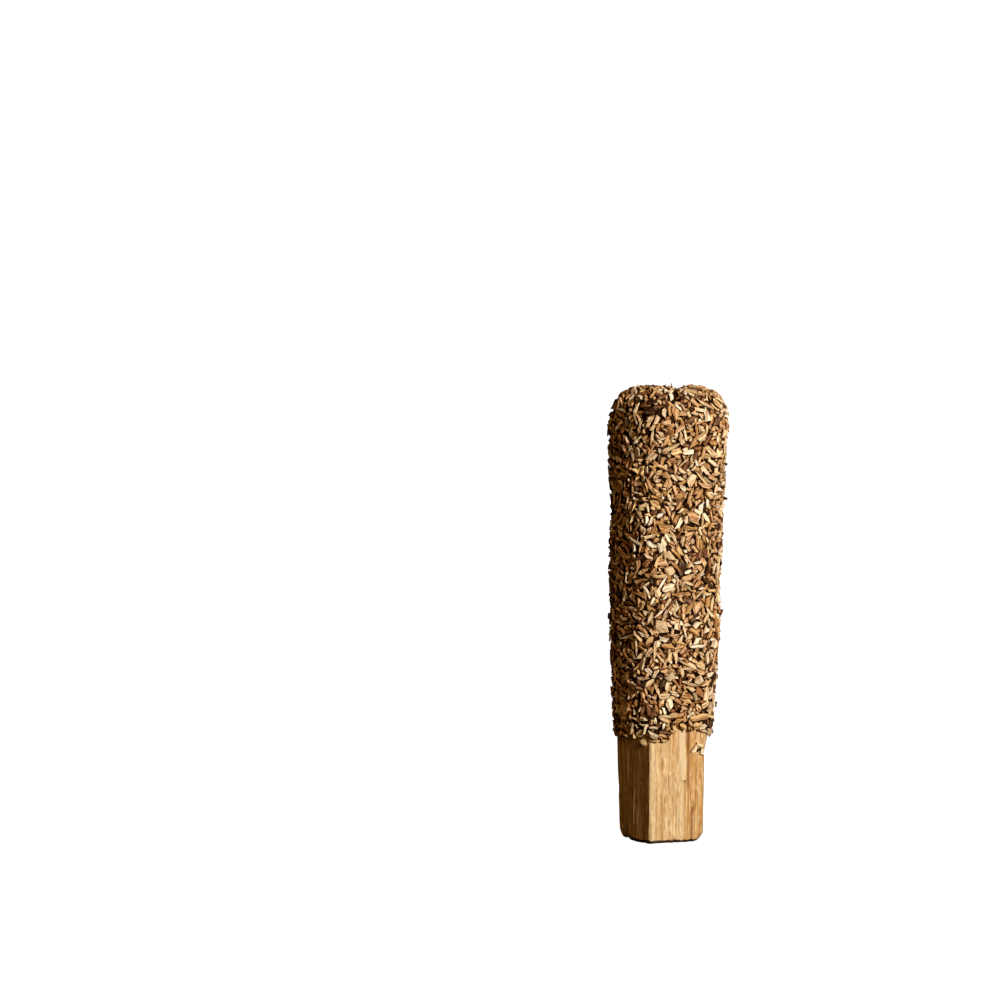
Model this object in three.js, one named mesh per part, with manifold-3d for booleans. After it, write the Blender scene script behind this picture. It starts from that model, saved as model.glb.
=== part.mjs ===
// A palo santo smudge stick: a hand-split stick of the wood, bare at its foot as a handle, with the
// rest rolled in a crust of chopped chips of the same wood. It stands on its sawn foot.
// Millimetres, +Z up. The origin is the middle of the foot, and the broad split face looks along -Y.
import * as THREE from "three";
import { ImprovedNoise } from "three/addons/math/ImprovedNoise.js";
import { mergeVertices } from "three/addons/utils/BufferGeometryUtils.js";
import Module from "manifold-3d";

const wasm = await Module();
wasm.setup();

// The stick
const STICK_LENGTH = 104;
const WIDENING = 0.0007; // share of its width that the stick gains in each millimetre up
const BEND = 1.3; // how far the top of the stick stands off to +X
const FOOT_BEVEL = 0.5;
const BROKEN_CORNER = { height: 5, depth: 0.9, reach: 6 }; // at the back left of the foot
const GRAIN = { relief: 0.4, across: 0.55, along: 0.035 }; // and how quickly it changes each way
const GRAIN_FADE = 2; // how far below the crust the grain's relief starts to fade
const HANDLE_TOP = 30; // a little way up inside the crust
const HANDLE_RINGS = 9;
const RING_CROWDING = 1.3; // above 1, the rings are closer together towards the foot
const PARTS_OF_A_SIDE = 6;

// A strip of wood that was left standing on the front ridge and curls off at its lower end.
const SLIVER = {
  foot: 14.4,
  rings: 6,
  width: 2,
  footWidth: 0.6, // of its full width
  widening: 0.5, // the share of its length over which it widens
  thickness: 1,
  curledThickness: 0.6, // of its full thickness
  proud: 0.35,
  curl: 0.8,
  curlLength: 0.22, // of its length
  offRidge: [1.3, 0.6], // at its foot and at its top
};

// The crust of chips
const CRUST_FOOT = 25.2;
const CRUST_FOOT_WANDER = { height: 1.6, bends: 2, seed: 4.5 }; // of its ragged lower edge
const BARE_TONGUE = { height: 2.6, turn: -1.46, width: 0.12 }; // wood that shows above that edge
const CRUST_THICKNESS = { foot: 1.8, top: 3.2, overEnd: 3.7 };
const CRUST_THINNING = { depth: 0.7, height: 5 }; // towards its lower edge
const CRUST_SIDEWAYS = { thickness: 0.2, reach: 12 }; // thicker towards +X, and thinner towards -X
const CRUST_SWELL = { height: 0.35, size: 7 };
const END_BLEND = 2; // how far from the stick's end the crust starts to thicken over it
const RIM_ROUNDING = 2.6;
const FARTHEST_REACH = 25; // well outside the crust
const HALVINGS = 24; // of the distance in which a ray meets the crust
const FIT_GAP = 0.3; // between two pieces that touch
const MERGE_DISTANCE = 1e-4;

// Chips that stuck to the bare handle, each with its outline across and up the side that it lies on.
const STRAY_CHIP_TAPER = 0.85; // of its outline, on its outer side
const STRAY_CHIPS = {
  stray_chip_left: {
    side: ["backLeft", "frontLeft"],
    share: 0.88,
    height: 22.9,
    thickness: 1,
    outline: [[-0.7, -1.3], [0.5, -1.2], [1.1, -0.3], [0.9, 1], [-0.2, 1.3], [-1.1, 0.6]],
  },
  stray_chip_right: {
    side: ["frontRidge", "frontRight"],
    share: 0.63,
    height: 22.4,
    thickness: 1.1,
    outline: [[-1.7, -1.5], [-0.9, -1.6], [0.5, -0.5], [1.5, -1], [1.7, 0], [0.9, 1.5], [0, 1.6]],
  },
};

// The chips of the crust lie in a lattice of uneven cells, with one chip in each.
const CELLS_ACROSS_END = 7;
const CELLS_AROUND = 4 * CELLS_ACROSS_END;
const CELLS_UP = 27;
const CELL_JITTER = 0.36; // of a cell
const CHIP_LENGTH = [0.42, 0.66]; // half of it, in cells
const CHIP_WIDTH = [0.17, 0.32];
const CHIP_EDGE = 0.06; // the least groove beside a chip, in cells
const CHIP_RISE = [0.2, 1.1];
const CHIP_TILT = 0.55; // how much higher one end may stand
const CHIP_SLANT = [-0.5, 0.5]; // of its ends, in widths
const CHIP_TAPER = [0.4, 1]; // the width left at a corner
const GROOVE_DEPTH = 0.3;

// Corners of the split section at the foot, counter-clockwise from above.
const SECTION = {
  frontLeft: new THREE.Vector2(-6.6, -7.3),
  frontRidge: new THREE.Vector2(2.15, -8.1),
  frontRight: new THREE.Vector2(6.95, -7.4),
  backRight: new THREE.Vector2(9.25, 2.8),
  back: new THREE.Vector2(0.75, 8.1),
  backLeft: new THREE.Vector2(-9.7, 4.8),
};
const CORNERS = Object.values(SECTION);

const noise = new ImprovedNoise();
const random = THREE.MathUtils.seededRandom;
random(11);
const between = ([low, high]) => low + (high - low) * random();
const lerp = THREE.MathUtils.lerp;
const smooth = THREE.MathUtils.smoothstep;

const widthAt = (z) => 1 + WIDENING * z;
const bendAt = (z) => BEND * (z / STICK_LENGTH) ** 2;

// How far a point of the section's plane lies outside the six corners. It is negative inside.
function outsideSection(x, y) {
  let nearest = Infinity;
  let inside = true;
  CORNERS.forEach((a, i) => {
    const b = CORNERS[(i + 1) % CORNERS.length];
    const side = b.clone().sub(a);
    const to = new THREE.Vector2(x, y).sub(a);
    inside = inside && side.cross(to) > 0;
    const along = THREE.MathUtils.clamp(to.dot(side) / side.lengthSq(), 0, 1);
    nearest = Math.min(nearest, to.sub(side.multiplyScalar(along)).length());
  });
  return inside ? -nearest : nearest;
}

// How far a point lies outside the stick, if the rim of its upper end were rounded.
function outsideStick(p) {
  const width = widthAt(p.z);
  const across = width * outsideSection((p.x - bendAt(p.z)) / width, p.y / width) + RIM_ROUNDING;
  const above = p.z - STICK_LENGTH + RIM_ROUNDING;
  const core = across > 0 && above > 0 ? Math.hypot(across, above) : Math.max(across, above);
  return core - RIM_ROUNDING;
}

// How thick the crust is at a point.
function crustThickness(p) {
  const up = (p.z - CRUST_FOOT) / (STICK_LENGTH - CRUST_FOOT);
  const even = lerp(CRUST_THICKNESS.foot, CRUST_THICKNESS.top, Math.sqrt(Math.max(up, 0)));
  const edge = 1 - smooth(p.z, CRUST_FOOT, CRUST_FOOT + CRUST_THINNING.height);
  const side = even - CRUST_THINNING.depth * edge;
  const over = smooth(p.z, STICK_LENGTH - END_BLEND, STICK_LENGTH + END_BLEND);
  const { height, size } = CRUST_SWELL;
  const swell = height * noise.noise(p.x / size, p.y / size, p.z / size);
  const sideways = (CRUST_SIDEWAYS.thickness * p.x) / CRUST_SIDEWAYS.reach;
  return lerp(side, CRUST_THICKNESS.overEnd, over) + sideways + swell;
}

// The crust's surface is met by rays from the axis: level ones up the side, then a fan over the end.
const FAN_HEIGHT = STICK_LENGTH - 5;
const FAN_UP = 20; // how much further up counts until the fan's ray points straight up
const RIM_UP = FAN_HEIGHT + FAN_UP / 2;
const CELL_HEIGHT = (RIM_UP - CRUST_FOOT) / CELLS_UP;
function crustPoint(turn, up) {
  const z = Math.min(up, FAN_HEIGHT);
  const rise = Math.min((up - z) / FAN_UP, 1) * (Math.PI / 2);
  const way = new THREE.Vector3(
    Math.cos(turn) * Math.cos(rise),
    Math.sin(turn) * Math.cos(rise),
    Math.sin(rise),
  );
  const start = new THREE.Vector3(bendAt(z), 0, z);
  let [near, far] = [0, FARTHEST_REACH];
  const point = new THREE.Vector3();
  for (let i = 0; i < HALVINGS; i++) {
    const reach = (near + far) / 2;
    point.copy(start).addScaledVector(way, reach);
    if (outsideStick(point) > crustThickness(point)) far = reach;
    else near = reach;
  }
  return point;
}

// The direction in which the crust's surface faces at a point near it.
function crustFacing(p) {
  const step = 0.4;
  const outward = new THREE.Vector3();
  for (const axis of ["x", "y", "z"]) {
    const [low, high] = [p.clone(), p.clone()];
    low[axis] -= step;
    high[axis] += step;
    outward[axis] = outsideStick(high) - outsideStick(low);
  }
  return outward.normalize();
}

// Turns a closed geometry into a solid that can be joined and cut.
function solidOf(geometry) {
  const bare = geometry.index ? geometry.toNonIndexed() : geometry.clone();
  bare.deleteAttribute("normal");
  bare.deleteAttribute("uv");
  const merged = mergeVertices(bare, MERGE_DISTANCE);
  const mesh = new wasm.Mesh({
    numProp: 3,
    vertProperties: merged.attributes.position.array,
    triVerts: new Uint32Array(merged.index.array),
  });
  return new wasm.Manifold(mesh);
}

function geometryOf(solid) {
  const mesh = solid.getMesh();
  return new THREE.BufferGeometry()
    .setAttribute("position", new THREE.BufferAttribute(mesh.vertProperties, 3))
    .setIndex(new THREE.BufferAttribute(mesh.triVerts, 1));
}

// Moves each vertex of a geometry to where place(vertex) puts it.
function shaped(geometry, place) {
  const positions = geometry.attributes.position;
  const vertex = new THREE.Vector3();
  for (let i = 0; i < positions.count; i++) {
    vertex.fromBufferAttribute(positions, i);
    place(vertex);
    positions.setXYZ(i, vertex.x, vertex.y, vertex.z);
  }
  return geometry;
}

// The section's outline with each side parted, so that the grain can show on it.
function sectionShape(parts) {
  const points = CORNERS.flatMap((a, i) => {
    const b = CORNERS[(i + 1) % CORNERS.length];
    return Array.from({ length: parts }, (_, k) => a.clone().lerp(b, k / parts));
  });
  return new THREE.Shape(points);
}

// The split stick: rings of the section, closer together on the handle than under the crust.
function stickGeometry() {
  const steps = HANDLE_RINGS + 1;
  const shape = sectionShape(PARTS_OF_A_SIDE);
  const geometry = new THREE.ExtrudeGeometry(shape, { depth: steps, steps, bevelEnabled: false });
  return shaped(geometry, (v) => {
    const ring = Math.round(v.z);
    const handle = lerp(FOOT_BEVEL, HANDLE_TOP, ((ring - 1) / (HANDLE_RINGS - 1)) ** RING_CROWDING);
    const z = ring === 0 ? 0 : ring === steps ? STICK_LENGTH : handle;
    const outward = new THREE.Vector2(v.x, v.y).normalize();
    const bare = 1 - smooth(z, CRUST_FOOT - GRAIN_FADE, HANDLE_TOP);
    const { relief, across, along } = GRAIN;
    const grain = relief * bare * noise.noise(v.x * across, v.y * across, z * along);
    const bevel = ring === 0 ? FOOT_BEVEL : 0;
    const fromCorner = Math.hypot(v.x - SECTION.backLeft.x, v.y - SECTION.backLeft.y);
    const near = 1 - smooth(fromCorner, 0, BROKEN_CORNER.reach);
    const broken = BROKEN_CORNER.depth * near * (1 - smooth(z, 0, BROKEN_CORNER.height));
    const out = grain - bevel - broken;
    const width = widthAt(z);
    v.set(v.x * width + outward.x * out + bendAt(z), v.y * width + outward.y * out, z);
  });
}

// The strip left standing on the front ridge, with grown more on every side. It thins and leaves the
// face towards its foot.
function sliverGeometry(grown = 0) {
  const steps = SLIVER.rings;
  const width = SLIVER.width + 2 * grown;
  const shape = new THREE.Shape([
    new THREE.Vector2(-width / 2, 0),
    new THREE.Vector2(-width / 4, -SLIVER.thickness),
    new THREE.Vector2(width / 3, -SLIVER.thickness),
    new THREE.Vector2(width / 2, 0),
  ]);
  const geometry = new THREE.ExtrudeGeometry(shape, { depth: steps, steps, bevelEnabled: false });
  return shaped(geometry, (v) => {
    const up = v.z / steps;
    const z = lerp(SLIVER.foot, HANDLE_TOP, up);
    const curl = SLIVER.curl * (1 - smooth(up, 0, SLIVER.curlLength));
    const thickness = curl > 0 ? SLIVER.curledThickness : 1;
    const back = SECTION.frontRidge.y * widthAt(z) + SLIVER.thickness - SLIVER.proud - grown - curl;
    const narrowing = lerp(SLIVER.footWidth, 1, smooth(up, 0, SLIVER.widening));
    const middle = SECTION.frontRidge.x * widthAt(z) - lerp(...SLIVER.offRidge, 1 - up);
    v.set(middle + v.x * narrowing, back + v.y * thickness, z);
  });
}

// The space that the stick takes up in the crust, with the gap between them.
function boreGeometry() {
  const heights = [0, HANDLE_TOP, STICK_LENGTH + FIT_GAP];
  const steps = heights.length - 1;
  const geometry = new THREE.ExtrudeGeometry(sectionShape(1), { depth: steps, steps, bevelEnabled: false });
  return shaped(geometry, (v) => {
    const z = heights[Math.round(v.z)];
    const outward = new THREE.Vector2(v.x, v.y).normalize();
    const width = widthAt(z);
    v.set(v.x * width + outward.x * FIT_GAP + bendAt(z), v.y * width + outward.y * FIT_GAP, z);
  });
}

// A corner between the chips, at a turn round the axis and a way up the crust, both nearly as given.
function latticeCorner(turn, up) {
  const jitter = (cell) => cell * between([-CELL_JITTER, CELL_JITTER]);
  const point = crustPoint(turn + jitter((2 * Math.PI) / CELLS_AROUND), up + jitter(CELL_HEIGHT));
  return point.addScaledVector(crustFacing(point), -GROOVE_DEPTH);
}

// The height of the crust's ragged lower edge.
function crustFootAt(turn) {
  const { height, bends, seed } = CRUST_FOOT_WANDER;
  const wander = height * noise.noise(bends * Math.cos(turn), bends * Math.sin(turn), seed);
  const aside = Math.atan2(Math.sin(turn - BARE_TONGUE.turn), Math.cos(turn - BARE_TONGUE.turn));
  return CRUST_FOOT + wander + BARE_TONGUE.height * Math.exp(-((aside / BARE_TONGUE.width) ** 2));
}

// Rings of corners up the side, from the ragged foot to the rim of the end.
function sideRings() {
  return Array.from({ length: CELLS_UP + 1 }, (_, row) =>
    Array.from({ length: CELLS_AROUND }, (_, column) => {
      const turn = ((column + 0.5) / CELLS_AROUND) * 2 * Math.PI;
      return latticeCorner(turn, lerp(crustFootAt(turn), RIM_UP, row / CELLS_UP));
    }),
  );
}

// A square lattice of corners drawn out over the round end, whose border is the rim.
function endLattice(rim) {
  const place = (i) => (2 * i) / CELLS_ACROSS_END - 1;
  return Array.from({ length: CELLS_ACROSS_END + 1 }, (_, i) =>
    Array.from({ length: CELLS_ACROSS_END + 1 }, (_, j) => {
      const [s, t] = [place(i), place(j)];
      const out = Math.max(Math.abs(s), Math.abs(t));
      const quarters = Math.abs(s) >= Math.abs(t) ? (s > 0 ? 0 : 4) + t / s : (t > 0 ? 2 : 6) - s / t;
      const turn = (quarters * Math.PI) / 4;
      if (out < 1) return latticeCorner(turn, lerp(FAN_HEIGHT + FAN_UP, RIM_UP, out));
      const column = Math.round((turn / (2 * Math.PI)) * CELLS_AROUND - 0.5);
      return rim[(column + CELLS_AROUND) % CELLS_AROUND];
    }),
  );
}

// A chip in a cell with the given corners: a plate that points anywhere, with walls down to the cell.
function chipTriangles(cell) {
  const middle = cell.reduce((sum, corner) => sum.add(corner), new THREE.Vector3()).divideScalar(4);
  const facing = crustFacing(middle);
  const centre = new THREE.Vector2(0.5, 0.5);
  const [half, wide, yaw] = [between(CHIP_LENGTH), between(CHIP_WIDTH), 2 * Math.PI * random()];
  const slant = between(CHIP_SLANT) * wide;
  const outline = [
    new THREE.Vector2(-half - slant, -wide),
    new THREE.Vector2(half - slant, -wide * between(CHIP_TAPER)),
    new THREE.Vector2(half + slant, wide * between(CHIP_TAPER)),
    new THREE.Vector2(-half + slant, wide),
  ].map((corner) => corner.add(centre).rotateAround(centre, yaw).clampScalar(CHIP_EDGE, 1 - CHIP_EDGE));
  const first = outline.reduce((best, corner, i) => (corner.length() < outline[best].length() ? i : best), 0);
  const rise = GROOVE_DEPTH + between(CHIP_RISE);
  const slope = between([-CHIP_TILT, CHIP_TILT]);
  const plate = cell.map((_, i) => {
    const place = outline[(first + i) % 4];
    const low = cell[0].clone().lerp(cell[1], place.x);
    const high = cell[3].clone().lerp(cell[2], place.x);
    const along = Math.cos(yaw) * (place.x - 0.5) + Math.sin(yaw) * (place.y - 0.5);
    return low.lerp(high, place.y).addScaledVector(facing, rise + slope * along);
  });
  const walls = cell.flatMap((corner, i) => {
    const next = (i + 1) % 4;
    return [corner, cell[next], plate[next], corner, plate[next], plate[i]];
  });
  return [...walls, plate[0], plate[1], plate[2], plate[0], plate[2], plate[3]];
}

// The crust as a closed lump, before the stick's room is cut out of it.
function crustLumpGeometry() {
  const rings = sideRings();
  const end = endLattice(rings[CELLS_UP]);
  const corners = [];
  for (let row = 0; row < CELLS_UP; row++) {
    for (let column = 0; column < CELLS_AROUND; column++) {
      const next = (column + 1) % CELLS_AROUND;
      const [low, high] = [rings[row], rings[row + 1]];
      corners.push(...chipTriangles([low[column], low[next], high[next], high[column]]));
    }
  }
  for (let i = 0; i < CELLS_ACROSS_END; i++) {
    for (let j = 0; j < CELLS_ACROSS_END; j++) {
      corners.push(...chipTriangles([end[i][j], end[i + 1][j], end[i + 1][j + 1], end[i][j + 1]]));
    }
  }
  const underside = new THREE.Vector3(0, 0, CRUST_FOOT);
  rings[0].forEach((corner, column) => {
    corners.push(rings[0][(column + 1) % CELLS_AROUND], corner, underside);
  });
  return new THREE.BufferGeometry().setFromPoints(corners);
}

function crustGeometry() {
  const room = solidOf(boreGeometry()).add(solidOf(sliverGeometry(FIT_GAP)));
  return geometryOf(solidOf(crustLumpGeometry()).subtract(room));
}

// A chip lying flat on a side of the handle.
function strayChipGeometry({ side, share, height, thickness, outline }) {
  const [from, to] = side.map((corner) => SECTION[corner].clone().multiplyScalar(widthAt(height)));
  const up = new THREE.Vector3(0, 0, 1);
  const along = new THREE.Vector3(to.x - from.x, to.y - from.y, 0).normalize();
  const outward = along.clone().cross(up);
  const middle = from.lerp(to, share);
  const shape = new THREE.Shape(outline.map(([x, y]) => new THREE.Vector2(x, y)));
  const geometry = new THREE.ExtrudeGeometry(shape, { depth: thickness, bevelEnabled: false });
  const base = new THREE.Vector3(middle.x, middle.y, height).addScaledVector(outward, FIT_GAP);
  const tapered = (v) => (v.z > 0 ? v.set(v.x * STRAY_CHIP_TAPER, v.y * STRAY_CHIP_TAPER, v.z) : v);
  return shaped(geometry, tapered)
    .applyMatrix4(new THREE.Matrix4().makeBasis(along, up, outward))
    .translate(base.x, base.y, base.z);
}

const WOOD = new THREE.MeshStandardMaterial({ color: 0xc89a5b, roughness: 0.75, metalness: 0 });
const CHIPS = new THREE.MeshStandardMaterial({ color: 0xb98a52, roughness: 0.85, metalness: 0 });

function named(name, geometry, material) {
  geometry.computeVertexNormals();
  const mesh = new THREE.Mesh(geometry, material);
  mesh.name = name;
  return mesh;
}

const splitStick = () => geometryOf(solidOf(stickGeometry()).add(solidOf(sliverGeometry())));

const smudgeStick = new THREE.Group();
smudgeStick.add(named("stick", splitStick(), WOOD));
smudgeStick.add(named("chip_crust", crustGeometry(), CHIPS));
for (const [name, chip] of Object.entries(STRAY_CHIPS)) {
  smudgeStick.add(named(name, strayChipGeometry(chip), CHIPS));
}

export default smudgeStick;
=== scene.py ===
"""A palo santo smudge stick: split wood in a crust of chopped chips. Metres, in the CAD's frame."""
import itertools
import math

import bpy
import numpy as np
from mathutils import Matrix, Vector
from mathutils.bvhtree import BVHTree


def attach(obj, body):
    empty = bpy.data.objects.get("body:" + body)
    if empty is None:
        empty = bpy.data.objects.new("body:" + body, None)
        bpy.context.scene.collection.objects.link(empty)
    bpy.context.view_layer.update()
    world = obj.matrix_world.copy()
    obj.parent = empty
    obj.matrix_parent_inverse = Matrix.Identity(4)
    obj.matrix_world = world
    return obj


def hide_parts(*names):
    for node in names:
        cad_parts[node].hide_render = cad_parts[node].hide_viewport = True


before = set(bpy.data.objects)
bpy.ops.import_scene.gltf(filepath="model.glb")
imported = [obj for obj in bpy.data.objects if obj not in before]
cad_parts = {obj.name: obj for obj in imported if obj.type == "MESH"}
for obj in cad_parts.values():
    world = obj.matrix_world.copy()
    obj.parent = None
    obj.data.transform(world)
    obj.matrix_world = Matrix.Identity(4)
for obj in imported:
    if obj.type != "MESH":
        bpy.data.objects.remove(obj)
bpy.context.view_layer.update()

MM = 0.001  # lengths below are in millimetres unless their name says otherwise
FULL_TURN = 2 * math.pi
rng = np.random.default_rng(20)


# The photograph's camera

IMAGE_SIDE = 1000
FOCAL_PIXELS = 4593
HORIZON_ROW = 144.3
FOOT_COLUMN = 665.2  # where the middle of the stick's foot stands
CAMERA_AZIMUTH = math.radians(-22)
CAMERA_DISTANCE = 1096
CAMERA_HEIGHT = 166.2
SENSOR_WIDTH = 36
SEEN = (0.05, 50)  # from how far to how far it sees, in metres


def round_the_stick(azimuth, elevation, distance):
    """A place in metres. Azimuth 0 is on the -Y side, and a quarter turn is on the +X side."""
    level = math.cos(elevation)
    way = Vector((math.sin(azimuth) * level, -math.cos(azimuth) * level, math.sin(elevation)))
    return way * distance * MM


def linked(name, data):
    piece = bpy.data.objects.new(name, data)
    bpy.context.scene.collection.objects.link(piece)
    return piece


def add_camera():
    data = bpy.data.cameras.new("camera")
    data.sensor_width = SENSOR_WIDTH
    data.lens = SENSOR_WIDTH * FOCAL_PIXELS / IMAGE_SIDE
    data.clip_start, data.clip_end = SEEN
    camera = linked("camera", data)
    camera.location = round_the_stick(CAMERA_AZIMUTH, 0, CAMERA_DISTANCE)
    camera.location.z = CAMERA_HEIGHT * MM
    aside = math.atan((FOOT_COLUMN - IMAGE_SIDE / 2) / FOCAL_PIXELS)
    drop = (IMAGE_SIDE / 2 - HORIZON_ROW) / FOCAL_PIXELS
    ahead = -round_the_stick(CAMERA_AZIMUTH + aside, 0, 1 / MM)
    ahead.z = -drop
    camera.rotation_euler = ahead.to_track_quat("-Z", "Y").to_euler()
    bpy.context.scene.camera = camera


# Light and floor

LIGHTS = [  # name, azimuth, elevation, distance, side, watts, colour
    ("key", 16, 18.5, 900, 130, 10.8, (0.97, 1.05, 1.18)),
    ("fill", -5, 18, 1100, 250, 3.25, (1.0, 0.61, 0.22)),
    ("bounce", -80, -35, 90, 30, 0.003, (1.0, 0.7, 0.3)),
    ("back", 152, 5, 1100, 400, 6, (1.0, 1.0, 1.0)),
]
SKY_FILL = 0.02
SKY_COLOUR = (1.0, 0.5, 0.13, 1.0)
FLOOR_SIDE = 6000
FLOOR_GLOW = (1.0, 1.1)  # close to the stick and far from it
FLOOR_GLOW_REACH = (0.25, 0.8)  # metres
LIT_HEIGHT = 55  # what the lights look at


def add_light(name, azimuth, elevation, distance, side, watts, colour):
    data = bpy.data.lights.new(name, "AREA")
    data.shape = "DISK"
    data.size = side * MM
    data.energy = watts
    data.color = colour
    light = linked(name, data)
    light.visible_camera = False
    way = round_the_stick(math.radians(azimuth), math.radians(elevation), distance)
    light.location = way + Vector((0, 0, LIT_HEIGHT * MM))
    light.rotation_euler = way.to_track_quat("Z", "Y").to_euler()


def add_sky():
    """White where the camera looks past the floor, and only a dim fill for everything else."""
    world = bpy.data.worlds.new("studio")
    bpy.context.scene.world = world
    world.use_nodes = True
    tree = world.node_tree
    tree.nodes.clear()
    seen = tree.nodes.new("ShaderNodeLightPath").outputs["Is Camera Ray"]
    mix = tree.nodes.new("ShaderNodeMixShader")
    tree.links.new(seen, mix.inputs[0])
    for socket, strength, colour in ((1, SKY_FILL, SKY_COLOUR), (2, 1.0, (1, 1, 1, 1))):
        background = tree.nodes.new("ShaderNodeBackground")
        background.inputs["Color"].default_value = colour
        background.inputs["Strength"].default_value = strength
        tree.links.new(background.outputs[0], mix.inputs[socket])
    out = tree.nodes.new("ShaderNodeOutputWorld")
    tree.links.new(mix.outputs[0], out.inputs["Surface"])


# Materials

def linear(code):
    """A colour written as six hex digits, as Blender's linear one."""
    parts = [int(code[i:i + 2], 16) / 255 for i in (0, 2, 4)]
    return [p / 12.92 if p <= 0.04045 else ((p + 0.055) / 1.055) ** 2.4 for p in parts] + [1.0]


class Graph:
    """A material's nodes, added one call at a time. An input named _0 is the node's first."""

    def __init__(self, name):
        self.material = bpy.data.materials.new(name)
        self.material.use_nodes = True
        self.tree = self.material.node_tree
        self.tree.nodes.clear()

    def add(self, kind, fixed=None, **inputs):
        node = self.tree.nodes.new("ShaderNode" + kind)
        for name, value in (fixed or {}).items():
            setattr(node, name, value)
        for name, value in inputs.items():
            socket = node.inputs[int(name[1:]) if name[0] == "_" else name.replace("_", " ")]
            if isinstance(value, bpy.types.NodeSocket):
                self.tree.links.new(value, socket)
            else:
                socket.default_value = linear(value) if isinstance(value, str) else value
        return node

    def place(self):
        return self.add("TexCoord").outputs["Object"]

    def value(self, name):
        return self.add("Attribute", {"attribute_name": name}).outputs["Fac"]

    def noise(self, where, scale, detail, roughness=0.5):
        node = self.add("TexNoise", Vector=where, Scale=scale, Detail=detail, Roughness=roughness)
        return node.outputs[0]

    def stretched(self, where, scale):
        return self.add("VectorMath", {"operation": "MULTIPLY"}, _0=where, _1=scale).outputs[0]

    def ramp(self, value, low, high, top=1.0, bottom=0.0):
        """The bottom below low, the top above high, and smooth between."""
        span = dict(From_Min=low, From_Max=high, To_Min=bottom, To_Max=top)
        return self.add("MapRange", {"interpolation_type": "SMOOTHSTEP"}, Value=value, **span).outputs[0]

    def maths(self, operation, first, second):
        return self.add("Math", {"operation": operation}, _0=first, _1=second).outputs[0]

    def mix(self, share, first, second, blend="MIX"):
        return self.add("MixRGB", {"blend_type": blend}, Fac=share, Color1=first, Color2=second).outputs[0]

    def darkened(self, share, colour, darkening):
        return self.mix(share, colour, self.mix(1.0, colour, darkening, "MULTIPLY"))

    def finish(self, colour, rough_by, rough, height, relief, specular):
        """Its roughness goes through a span as a value goes from 0 to 1."""
        roughness = self.add("MapRange", Value=rough_by, To_Min=rough[0], To_Max=rough[1]).outputs[0]
        bump = self.add("Bump", Height=height, Distance=relief * MM).outputs[0]
        shader = self.add("BsdfPrincipled", Base_Color=colour, Roughness=roughness, Normal=bump)
        shader.inputs["Specular IOR Level"].default_value = specular
        self.add("OutputMaterial", Surface=shader.outputs[0])
        return self.material


WOOD_NOISES = {  # how it is drawn out along Z, scale, detail, roughness
    "bands": (0.05, 330, 2),
    "streaks": (0.025, 2300, 3, 0.6),
    "fibres": (0.035, 3800, 2),
    "pores": (0.03, 4200, 1),
    "dashes": (0.22, 2600, 1),
}
WOOD_BANDS = ("cba56f", "bd8a4a")
WOOD_LAYERS = [  # which noise, from which value to which, share, colour
    ("streaks", 0.46, 0.64, 0.75, "a0703a"),
    ("fibres", 0.5, 0.64, 0.55, "e0c290"),
    ("pores", 0.6, 0.72, 0.55, "704420"),
    ("dashes", 0.56, 0.7, 0.55, "8a5628"),
    ("dashes", 0.42, 0.28, 0.4, "ecd2a4"),
]
WOOD_TONES_AND_SHADE = {"warmth": "7c4e20", "paleness": "dcc496", "painted_shade": "2a1a0a"}  # by the mesh's own values; painted_shade is painted shade, and warmth is partly painted shade


def split_wood_material():
    """Straight-grained wood: bands, fine streaks and pores, all drawn out along Z."""
    g = Graph("split_wood")
    where = g.place()
    seen = {
        name: g.noise(g.stretched(where, (1, 1, drawn_out)), *values)
        for name, (drawn_out, *values) in WOOD_NOISES.items()
    }
    colour = g.mix(g.ramp(seen["bands"], 0.36, 0.66), *WOOD_BANDS)
    for name, low, high, share, code in WOOD_LAYERS:
        colour = g.mix(g.ramp(seen[name], low, high, share), colour, code)
    for name, code in WOOD_TONES_AND_SHADE.items():
        colour = g.mix(g.value(name), colour, code)
    height = g.maths("ADD", seen["streaks"], seen["fibres"])
    height = g.maths("SUBTRACT", height, g.ramp(seen["pores"], 0.66, 0.76))
    return g.finish(colour, seen["streaks"], (0.55, 0.85), height, relief=0.08, specular=0.1)


CREVICE_REACH = 0.7  # how close a surface has to be for a chip to get painted shade there


def chip_material():
    """Each chip has a colour of its own, with grain along it, dust in patches and painted shade in its
    crevices.
    """
    g = Graph("wood_chips")
    own = g.add("Attribute", {"attribute_name": "chip_colour"}).outputs["Color"]
    along = g.add("UVMap", {"uv_map": "grain"}).outputs[0]
    streaks = g.noise(g.stretched(along, (0.25, 2.2, 1)), 1.0, 3, 0.6)
    fibres = g.noise(g.stretched(along, (0.6, 7, 1)), 1.0, 2)
    dust = g.noise(g.place(), 700, 3)
    colour = g.darkened(g.ramp(streaks, 0.46, 0.62, 0.8), own, "9a632e")
    colour = g.mix(g.ramp(fibres, 0.55, 0.72, 0.45), colour, "f3dcae")
    colour = g.mix(g.ramp(dust, 0.55, 0.75, 0.3), colour, "6b421a")
    # Painted shade: darker and browner where other surfaces are close, in crevices and between chips.
    openness = g.add("AmbientOcclusion", {"samples": 3}, Distance=CREVICE_REACH * MM).outputs["AO"]
    colour = g.darkened(g.ramp(openness, 0.92, 0.5, 0.8), colour, "f8e0a0")
    colour = g.darkened(g.ramp(openness, 0.8, 0.25, 0.97), colour, "6e3606")
    height = g.maths("ADD", streaks, fibres)
    return g.finish(colour, streaks, (0.6, 0.9), height, relief=0.07, specular=0.08)


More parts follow.
